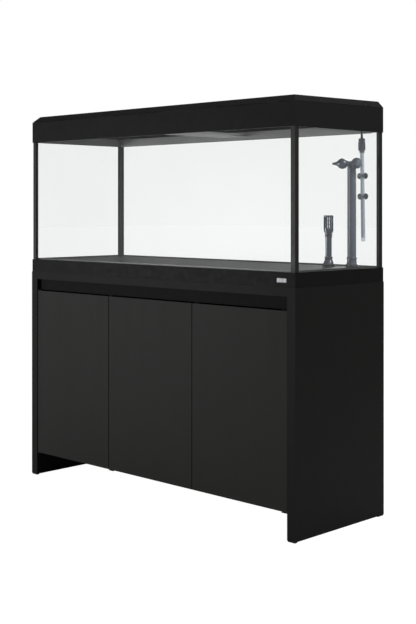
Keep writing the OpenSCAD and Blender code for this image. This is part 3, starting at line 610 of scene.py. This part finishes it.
def make_strainer():
    """A slotted cage: upright bars between a base ring and a cap, tied by two hoops."""
    low, high = box_mm("inlet_strainer")
    mid = middle_of("inlet_strainer")
    radius, height = (high.x - low.x) / 2, high.z - low.z
    base_top, cap_low = 8.5, height - 6.5
    bm = bmesh.new()
    at = (mid.x, mid.y, low.z)
    spin_profile(bm, [(radius - 3, 0), (radius - 0.7, 0), (radius, 0.7), (radius, base_top - 0.6),
                      (radius - 0.6, base_top), (radius - 3, base_top), (radius - 3, 0)],
                 PIPE_STEPS, at)
    spin_profile(bm, [(0, height - 1), (radius - 4, height - 1), (radius - 3.4, height),
                      (radius - 1, height), (radius, height - 1), (radius, cap_low + 0.5),
                      (radius - 0.5, cap_low), (0, cap_low)], PIPE_STEPS, at)
    bars = 14
    for turn in turned(Matrix.Translation(at), bars):
        add_box(bm, (radius - 3.2, -1.5, base_top - 1), (radius - 0.3, 1.5, cap_low + 1),
                0.5, 2, turn)
    for z in (base_top + 10.5, base_top + 22):
        spin_profile(bm, [(radius - 2.9, z), (radius - 1.2, z), (radius - 1.2, z + 1.6),
                          (radius - 2.9, z + 1.6), (radius - 2.9, z)], PIPE_STEPS, at)
    dress(from_bmesh("inlet_strainer_cage", bm, 30), "equipment_grey", "root", ["inlet_strainer"])


def make_riser():
    low, high = box_mm("outlet_riser")
    mid = middle_of("outlet_riser")
    radius, wall, height = 12.8, 2, high.z - low.z
    seam_turn = 0.7
    profile = foot_profile(radius, height)
    profile += [(radius - wall, height), (radius - wall, 0.6), (13.5, 0)]
    bm = bmesh.new()
    at = (mid.x, mid.y, low.z)
    spin_profile(bm, profile, PIPE_STEPS, at)
    for side in range(2):
        turn = Matrix.Translation(at) @ Matrix.Rotation(math.pi * side + seam_turn, 4, "Z")
        add_box(bm, (radius - 0.5, -0.7, 24), (radius + 0.35, 0.7, height - 2), 0.3, 2, turn)
    dress(from_bmesh("outlet_riser_turned", bm), "equipment_grey", "root", ["outlet_riser"])


def make_outlet_head():
    """A domed cap that branches into two arms, each ending in a socket for its ball."""
    low, _ = box_mm("outlet_head")
    riser_mid = middle_of("outlet_riser")
    bm = bmesh.new()
    bottom = low.z
    spin_profile(bm, [(9.2, 0), (13.4, 0), (13.9, 0.6), (13.9, 5.5), (13.3, 6.6), (13.0, 9),
                      (12.2, 13), (11.2, 17), (9.8, 21), (7.6, 24), (4, 25.8), (0, 26.4)],
                 PIPE_STEPS, (riser_mid.x, riser_mid.y, bottom))
    for name in ("nozzle_left_swivel", "nozzle_right_swivel"):
        ball, _ = joint_place(name)
        start = Vector((riser_mid.x, riser_mid.y, ball.z))
        reach = (ball - start).length - BALL_R
        spin_profile(bm, [(0, 0), (7.4, 0), (7.4, reach - 4.5), (8.4, reach - 3),
                          (9.6, reach - 1), (9.8, reach - 0.2), (9.0, reach + 0.6),
                          (8.2, reach + 1.0), (0, reach - 1.6)],
                     40, turn=facing(ball - start, start))
    dress(from_bmesh("outlet_head_moulded", bm, 40), "equipment_grey", "root", ["outlet_head"])


BALL_R = 16.4
NOZZLE_REACH = 32.0
NOZZLE_YAWS = {"nozzle_left": 215, "nozzle_right": -60}


def make_nozzle(name):
    """A ball drawn out to a nose with a bore, and a seam ring where its halves meet."""
    ball, _ = joint_place(name + "_swivel")
    yaw = math.radians(NOZZLE_YAWS[name])
    profile = [(0, -BALL_R)]
    for degrees in range(-80, 31, 10):
        angle = math.radians(degrees)
        profile.append((BALL_R * math.cos(angle), BALL_R * math.sin(angle)))
    profile += [(12.9, 10.2), (11.2, 12.2), (9.0, 14.2), (7.1, 16.6), (5.6, 19.4), (4.5, 22.6),
                (3.8, 26), (3.4, 29), (3.3, NOZZLE_REACH - 1.4), (2.8, NOZZLE_REACH - 0.8),
                (1.8, NOZZLE_REACH - 0.8), (1.8, 14), (0, 13)]
    bm = bmesh.new()
    turn = facing((math.cos(yaw), math.sin(yaw), 0), ball)
    spin_profile(bm, profile, 56, turn=turn)
    spin_profile(bm, [(BALL_R - 0.4, -1.1), (BALL_R + 0.25, -0.8), (BALL_R + 0.25, 0.8),
                      (BALL_R - 0.4, 1.1)], 56, turn=turn)
    dress(from_bmesh(name + "_egg", bm, 40), "equipment_grey", name, [name])


make_inlet()
make_strainer()
make_riser()
make_outlet_head()
for nozzle in NOZZLE_YAWS:
    make_nozzle(nozzle)


# ------------------------------------------------------------------ heater

HEATER_TOP, HEATER_AXIS = joint_place("heater_dial_turn")
HEATER = (Matrix.Translation(HEATER_TOP)
          @ Matrix.Rotation(math.atan2(HEATER_AXIS.x, HEATER_AXIS.z), 4, "Y"))
CAP_H, DIAL_H, TUBE_R = 45.0, 9.0, 6.5
RELIEF_H = 20.0


def make_heater_cap():
    """The tapering cap with grip ribs, its neck, and the ringed relief for the cord."""
    bm = bmesh.new()
    bottom, shoulder = -CAP_H, -DIAL_H - 1
    spin_profile(bm, [(TUBE_R + 0.05, bottom), (7.4, bottom), (7.8, bottom + 0.6),
                      (8.0, bottom + 3.5), (7.5, bottom + 4.2), (7.5, bottom + 5.2),
                      (8.1, bottom + 6), (9.3, bottom + 18), (10.3, bottom + 29),
                      (10.4, shoulder - 1), (9.8, shoulder), (4.9, shoulder),
                      (4.9, -0.4), (4.2, 0), (4.2, 1)], 56, turn=HEATER)
    ribs = 12
    for turn in turned(HEATER, ribs):
        add_box(bm, (7.6, -0.8, bottom + 8), (10.55, 0.8, shoulder - 3.5), 0.7, 2, turn)
    dress(from_bmesh("heater_cap_moulded", bm, 40), "equipment_grey", "root", ["heater_cap"])
    relief = []
    rings = 6
    step = RELIEF_H / rings
    for i in range(rings):
        z = RELIEF_H * i / rings
        radius = 4.3 - 1.5 * i / rings
        relief += [(radius - 0.9, z + 0.05), (radius, z + 0.4), (radius - 0.12, z + step * 0.62),
                   (radius - 0.9, z + step * 0.75)]
    relief += [(2.52, RELIEF_H), (0, RELIEF_H)]
    bm = bmesh.new()
    spin_profile(bm, relief, 32, turn=HEATER)
    dress(from_bmesh("heater_cord_relief", bm, 40), "cord_black")


def make_dial():
    """The temperature collar, with grip flutes and one pointer."""
    radius, bore, flutes = 10.1, 5.1, 20
    bm = bmesh.new()
    steps = flutes * 6
    levels = [(-DIAL_H - 0.5, 0.7, False), (-DIAL_H, 0, True), (-1.6, 0, True), (-0.7, 0.9, False)]
    rings = []
    for z, inset, fluted in levels:
        ring = []
        for i in range(steps):
            angle = 2 * math.pi * i / steps
            flute = 0.55 * max(0.0, math.cos(flutes * angle)) if fluted else 0.3
            reach = radius - inset - flute
            ring.append(bm.verts.new(HEATER @ polar(reach, angle, z)))
        rings.append(ring)
    inner = [[bm.verts.new(HEATER @ polar(bore, 2 * math.pi * i / steps, z))
              for i in range(steps)] for z in (-0.7, -DIAL_H - 0.5)]
    join_rings(bm, rings + inner + [rings[0]])
    add_box(bm, (6.2, -0.5, -0.9), (8.9, 0.5, -0.35), 0.2, 2, HEATER)
    dress(from_bmesh("heater_dial_collar", bm, 30), "equipment_grey", "heater_dial",
          ["heater_dial"])


def make_heater_tube():
    """The glass tube with its domed end, and the wound former inside it."""
    low, _ = box_mm("heater_tube")
    bottom = low.z - HEATER_TOP.z
    end_r = 3.4
    dome = [(0, bottom + 0.3)]
    dome += [(TUBE_R - end_r + end_r * math.sin(math.radians(a)),
              bottom + 0.3 + end_r * (1 - math.cos(math.radians(a)))) for a in range(0, 91, 15)]
    bm = bmesh.new()
    spin_profile(bm, dome + [(TUBE_R, -CAP_H + 3)], 40, turn=HEATER)
    tube = dress(from_bmesh("heater_tube_blown", bm), "heater_glass", "root", ["heater_tube"])
    tube.visible_shadow = False
    core_low, core_high = box_mm("heater_core")
    start, end = core_low.z - HEATER_TOP.z, core_high.z - HEATER_TOP.z
    bm = bmesh.new()
    spin_profile(bm, [(0, start), (4.0, start), (4.4, start + 0.5), (4.4, end - 1),
                      (4.0, end), (0, end)], 28, turn=HEATER)
    bands, band_pitch = 11, 12
    for i in range(bands):
        z = start + 6 + band_pitch * i
        spin_profile(bm, [(4.3, z), (4.9, z), (5.2, z + 0.4), (5.2, z + 4.7),
                          (4.9, z + 5.1), (4.3, z + 5.1)], 28, turn=HEATER)
    dress(from_bmesh("heater_former", bm), "heater_ceramic", "root", ["heater_core"])
    bm = bmesh.new()
    turns, per_turn, coil_r, wire_r = 62, 10, 5.4, 0.32
    lowest, highest = start + 8, start + 128
    helix = []
    for i in range(turns * per_turn + 1):
        height = lowest + (highest - lowest) * i / (turns * per_turn)
        helix.append(HEATER @ polar(coil_r, 2 * math.pi * i / per_turn, height))
    sweep(bm, helix, wire_r, 5)
    dress(from_bmesh("heater_winding", bm, 60), "heater_ceramic")


def make_holders():
    """Each clip ring on its bar, with two suction cups pressed on the back pane."""
    _, high = box_mm("heater_holders")
    pane = high.y - HEATER_TOP.y
    clip_in, bar_t, cup_r = TUBE_R + 0.1, 2.5, 9.5
    seat = clip_in + bar_t
    steps, opening = 40, 56
    clip_drops, cup_xs = (115, 178), (-20, 2)
    rubber_bm, clip_bm = bmesh.new(), bmesh.new()
    for drop in clip_drops:
        at = HEATER @ Matrix.Translation((0, 0, -drop))
        profile = [(clip_in, -5), (clip_in + 1.5, -5), (clip_in + 1.9, -4.4), (clip_in + 1.9, 4.4),
                   (clip_in + 1.5, 5), (clip_in, 5)]
        rings = []
        for i in range(steps + 1):
            angle = math.radians(-90 + opening / 2 + (360 - opening) * i / steps)
            rings.append([clip_bm.verts.new(at @ polar(r, angle, z)) for r, z in profile])
        join_rings(clip_bm, rings)
        clip_bm.faces.new(rings[0])
        clip_bm.faces.new(rings[-1][::-1])
        add_box(clip_bm, (-24, clip_in, -4), (6, clip_in + bar_t, 4), 0.9, 2, at)
        for x in cup_xs:
            cup = at @ facing((0, 1, 0), (x, seat - 1.5, 0))
            depth = pane - seat + 1.5
            spin_profile(rubber_bm, [(0, -1.2), (3.2, -1.2), (3.8, -0.6), (3.8, 1.6), (3.2, 2.1),
                                     (4.6, 2.7), (6.8, 3.5), (8.4, depth - 1.2),
                                     (cup_r, depth - 0.35), (cup_r, depth - 0.05),
                                     (cup_r - 0.8, depth - 0.1), (0, depth - 1.4)],
                         40, turn=cup)
    dress(from_bmesh("heater_clips", clip_bm, 30), "equipment_grey", "root", ["heater_holders"])
    dress(from_bmesh("suction_cups", rubber_bm, 40), "cup_rubber")


make_heater_cap()
make_dial()
make_heater_tube()
make_holders()


# ------------------------------------------------------------------ badge and lamps

def make_badge():
    """A blank plate with a raised rim round a satin field."""
    low, high = box_mm("badge_plate")
    mid = middle_of("badge_plate")
    size = (high.x - low.x, high.z - low.z)
    turn = Matrix.Translation((mid.x, high.y, mid.z)) @ Matrix.Rotation(math.radians(90), 4, "X")
    bm = bmesh.new()
    add_plate(bm, size, 1.6, 0, 0.8, turn, 0.25)
    rim = 1.3
    for z_low, z_high, x_low, x_high in (
            (low.z, low.z + rim, low.x, high.x), (high.z - rim, high.z, low.x, high.x),
            (low.z, high.z, low.x, low.x + rim), (low.z, high.z, high.x - rim, high.x)):
        add_box(bm, (x_low + 0.1, low.y + 0.05, z_low + 0.1),
                (x_high - 0.1, high.y - 0.5, z_high - 0.1), 0.35, 3)
    dress(from_bmesh("badge_blank", bm, 40), "badge_metal", "root", ["badge_plate"])


BAR_W = 34.0


def extrude_along_x(bm, outline, x_low, x_high):
    """Adds a prism along X from (y, z) points."""
    ends = [[bm.verts.new((x, y, z)) for y, z in outline] for x in (x_low, x_high)]
    join_rings(bm, ends)
    close_ends(bm, ends)


def make_light_bars():
    """Ribbed aluminium channels with end caps, a row of diodes and a clear cover below."""
    low, high = box_mm("light_bars")
    bottom, top = low.z, high.z
    metal_bm, cap_bm, board_bm, cover_bm = (bmesh.new() for _ in range(4))
    for mid_y in (low.y + BAR_W / 2, high.y - BAR_W / 2):
        half = BAR_W / 2
        outline = [(-half, bottom + 2), (-half + 1.6, bottom + 1.2), (-half + 1.6, bottom + 4.5),
                   (half - 1.6, bottom + 4.5), (half - 1.6, bottom + 1.2), (half, bottom + 2),
                   (half, top - 5), (half - 2, top - 3.2)]
        fins = 5
        for i in range(fins):
            y = half - 4 - i * (BAR_W - 8) / (fins - 1)
            outline += [(y + 1.5, top - 3.2), (y + 1.3, top), (y - 1.3, top), (y - 1.5, top - 3.2)]
        outline += [(-half + 2, top - 3.2), (-half, top - 5)]
        extrude_along_x(metal_bm, [(mid_y + y, z) for y, z in outline], low.x + 8, high.x - 8)
        for x_low, x_high in ((low.x, low.x + 10), (high.x - 10, high.x)):
            add_box(cap_bm, (x_low, mid_y - half, bottom), (x_high, mid_y + half, top), 2.0, 3)
            x = (x_low + x_high) / 2
            for y in (-9, 9):
                spin_profile(cap_bm, [(0, 0), (1.6, 0), (2.0, 0.5), (2.0, 1.2)], 16,
                             (x, mid_y + y, bottom - 0.3))
        diodes = 48
        for i in range(diodes):
            x = low.x + 24 + (high.x - low.x - 48) * i / (diodes - 1)
            add_box(board_bm, (x - 2.4, mid_y - 2.4, bottom + 3.2),
                    (x + 2.4, mid_y + 2.4, bottom + 4.4), 0.5)
        add_box(cover_bm, (low.x + 9, mid_y - half + 2, bottom + 1.4),
                (high.x - 9, mid_y + half - 2, bottom + 2.4), 0.4)
    dress(from_bmesh("light_bar_channels", metal_bm, 30), "lamp_silver", "lid", ["light_bars"])
    dress(from_bmesh("light_bar_caps", cap_bm, 40), "catch_grey", "lid")
    dress(from_bmesh("light_bar_diodes", board_bm, 30), "impeller_white", "lid")
    dress(from_bmesh("light_bar_covers", cover_bm, 30), "tank_glass", "lid")


# ------------------------------------------------------------------ feet, filter and hoses

def make_feet():
    """Screw-down feet: a ribbed pad, a threaded stem and a socket under the bottom board."""
    low, high = box_mm("centre_feet")
    pad_r, threads, pitch, ribs = 25, 12, 3.4, 12
    bm = bmesh.new()
    thread = []
    for i in range(threads):
        z = 15 + i * pitch
        thread += [(5.2, z), (6.3, z + 1.0), (6.3, z + 1.5), (5.2, z + 2.5)]
    profile = [(0, 0), (23.8, 0), (pad_r, 1.2), (pad_r, 4.8), (24.2, 6), (22, 6.4), (20.6, 7.6),
               (14, 11.5), (12, 13.8), (6.3, 14.4)] + thread + [
               (6.3, high.z - 22), (13.2, high.z - 22), (14, high.z - 21), (14, high.z - 5),
               (15, high.z - 4), (23.4, high.z - 4), (24, high.z - 3.2), (24, high.z),
               (0, high.z)]
    for x in (low.x + pad_r, high.x - pad_r):
        for y in (low.y + pad_r, high.y - pad_r):
            spin_profile(bm, profile, 48, (x, y, 0))
            for turn in turned(Matrix.Translation((x, y, 0)), ribs):
                add_box(bm, (13.0, -1.1, high.z - 20), (15.0, 1.1, high.z - 5), 0.5, 2, turn)
    dress(from_bmesh("centre_feet_turned", bm, 35), "foot_black", "root", ["centre_feet"])


def make_filter_trim():
    """Grip bosses round the pump head, its priming button, and ribs round the canister."""
    low, high = box_mm("pump_head")
    mid = middle_of("pump_head")
    bm = bmesh.new()
    places, ribs = 24, 12
    for i, turn in enumerate(turned(Matrix.Translation((mid.x, mid.y, low.z)), places)):
        if i % 6 not in (0, 1, 5):
            add_box(bm, (92.2, -5, 3), (95.4, 5, 15), 1.2, 3, turn)
    dress(from_bmesh("pump_head_grips", bm, 30), "filter_head")
    bm = bmesh.new()
    spin_profile(bm, [(0, 0), (13, 0), (13.6, 0.8), (13.6, 3.6), (12.6, 4.6), (11.4, 4.9),
                      (11.2, 8.4), (10.4, 9.2), (0, 9.8)],
                 48, (mid.x, mid.y + 44, high.z - 0.6))
    dress(from_bmesh("priming_button", bm, 35), "lever_red")
    low, high = box_mm("canister")
    bm = bmesh.new()
    for z in (low.z + 6, low.z + 14, high.z - 44, high.z - 36):
        spin_profile(bm, [(87.6, z), (89.2, z + 0.8), (89.2, z + 2.6), (87.6, z + 3.4)],
                     96, (mid.x, mid.y, 0))
    for turn in turned(Matrix.Translation((mid.x, mid.y, 0)), ribs, 0.5):
        add_box(bm, (86.5, -3, low.z + 20), (89.4, 3, high.z - 50), 1.3, 3, turn)
    dress(from_bmesh("canister_ribs", bm, 35), "filter_dark")


def make_hoses():
    """Two smooth hoses from the tank's tails down to the filter's ports, with their clamps."""
    low, high = box_mm("hoses")
    bm, clamp_bm = bmesh.new(), bmesh.new()
    hose_r, lead, spans = 11, 4, 18
    for pipe, port_x in (("inlet_pipe", -22.5), ("outlet_riser", 22.5)):
        top = middle_of(pipe).xy.to_3d()
        top.z = high.z
        end = Vector((middle_of("canister").x + port_x, middle_of("canister").y, low.z))
        a, b = top - Vector((0, 0, lead)), end + Vector((0, 0, lead))
        route = [top]
        for i in range(spans + 1):
            t = i / spans
            share = (1 - math.cos(math.pi * t)) / 2
            route.append(a.lerp(b, share).xy.to_3d() + Vector((0, 0, a.z + (b.z - a.z) * t)))
        route.append(end)
        path = smooth_points(route, 8)
        radii = [hose_r - 0.35 + 0.3 * math.cos(i * 2.1) for i in range(len(path))]
        sweep(bm, path, radii, 32)
        for at, heading in ((path[5], path[6] - path[4]), (path[-6], path[-5] - path[-7])):
            spin_profile(clamp_bm, [(hose_r - 0.6, -4), (hose_r + 0.9, -4), (hose_r + 1.2, -3.6),
                                    (hose_r + 1.2, 3.6), (hose_r + 0.9, 4), (hose_r - 0.6, 4)], 40,
                         turn=facing(heading, at))
            add_box(clamp_bm, (hose_r, -3.2, -3.4), (hose_r + 6.5, 3.2, 3.4), 1.2, 3,
                    facing(heading, at))
    dress(from_bmesh("hoses_smooth", bm, 60), "hose_green", "root", ["hoses"])
    dress(from_bmesh("hose_clamps", clamp_bm, 35), "foot_black")


def add_screw(bm, at, out, radius=3.2):
    """A countersunk cross-head screw."""
    turn = facing(out, at)
    spin_profile(bm, [(radius, 0), (radius, 0.25), (radius * 0.9, 0.5),
                      (radius * 0.45, 0.62), (0, 0.62)], 20, turn=turn)
    for spin in (0, 90):
        cross = turn @ Matrix.Rotation(math.radians(spin), 4, "Z")
        add_box(bm, (-radius * 0.6, -0.35, 0.55), (radius * 0.6, 0.35, 0.72), 0.1, 1, cross)


def make_screws():
    """Screws round the edges of the back panel."""
    bm = bmesh.new()
    low, high = box_mm("back_panel")
    outward = (0, 1, 0)
    edge, end = 12, 90
    for x in [low.x + edge + (high.x - low.x - 2 * edge) * i / 8 for i in range(9)]:
        for z in (low.z + 9, high.z - edge):
            add_screw(bm, (x, high.y, z), outward)
    for z in [low.z + end + (high.z - low.z - 2 * end) * i / 3 for i in range(4)]:
        for x in (low.x + edge, high.x - edge):
            add_screw(bm, (x, high.y, z), outward)
    dress(from_bmesh("cabinet_screws", bm, 30), "plate_steel")


make_badge()
make_light_bars()
make_feet()
make_filter_trim()
make_hoses()
make_screws()


# ------------------------------------------------------------------ floor, lights and world

FLOOR_GLOW = 1.165
FLOOR_GLOW_SHARE = 0.85
BACKDROP_AS_LAMP = 0.24


def make_stage():
    """A white sweep, lit so evenly that the object hardly shades it."""
    bm = bmesh.new()
    bmesh.ops.create_grid(bm, x_segments=8, y_segments=8, size=40 / MM)
    floor = from_bmesh("floor", bm, 0)
    look = Look("floor", (0.8, 0.8, 0.8), 0.7)
    look.vary_colour(look.noise(0.6, 2), 0.99, 1.0)
    glow = look.node("ShaderNodeEmission", Strength=FLOOR_GLOW)
    path = look.node("ShaderNodeLightPath")
    share = look.node("ShaderNodeMath", operation="MULTIPLY")
    share.inputs[1].default_value = FLOOR_GLOW_SHARE
    look.join(path.outputs["Is Camera Ray"], share.inputs[0])
    mix = look.node("ShaderNodeMixShader")
    look.join(share.outputs["Value"], mix.inputs["Fac"])
    look.join(look.shader.outputs["BSDF"], mix.inputs[1])
    look.join(glow.outputs["Emission"], mix.inputs[2])
    look.join(mix.outputs["Shader"], look.tree.nodes["Material Output"].inputs["Surface"])
    floor.data.materials.append(look.material)


def area_light(name, at, towards, size, power, spread=180):
    data = bpy.data.lights.new(name, "AREA")
    data.shape = "RECTANGLE"
    data.size, data.size_y = size
    data.energy = power
    data.spread = math.radians(spread)
    obj = link(bpy.data.objects.new(name, data))
    obj.location = at
    direction = Vector(towards) - Vector(at)
    obj.rotation_euler = direction.to_track_quat("-Z", "Y").to_euler()


def make_world():
    """White to the eye, dimmer as a lamp, as in a studio with a lit white backdrop."""
    world = bpy.data.worlds.new("studio")
    bpy.context.scene.world = world
    world.use_nodes = True
    tree = world.node_tree
    back = tree.nodes["Background"]
    back.inputs["Color"].default_value = (1, 1, 1, 1)
    path = tree.nodes.new("ShaderNodeLightPath")
    level = tree.nodes.new("ShaderNodeMapRange")
    level.inputs["To Min"].default_value = BACKDROP_AS_LAMP
    level.inputs["To Max"].default_value = 1.0
    tree.links.new(path.outputs["Is Camera Ray"], level.inputs["Value"])
    tree.links.new(level.outputs["Result"], back.inputs["Strength"])


def light_scene():
    make_stage()
    make_world()
    area_light("overhead", (0, -0.1, 3.6), (0, 0, 0), (5, 5), 22)
    area_light("key", (-3.1, -3.7, 0.6), (-0.1, 0, 0.35), (1.1, 1.1), 74)
    area_light("side", (2.5, 0.5, 2.6), (0.6, 0, 1.3), (0.7, 1.2), 56)
    area_light("rear", (-1.4, 3.8, 2.0), (0, 0, 0.7), (1.2, 2.2), 60)
    view = bpy.context.scene.view_settings
    view.view_transform = "Standard"
    view.look = "None"


light_scene()
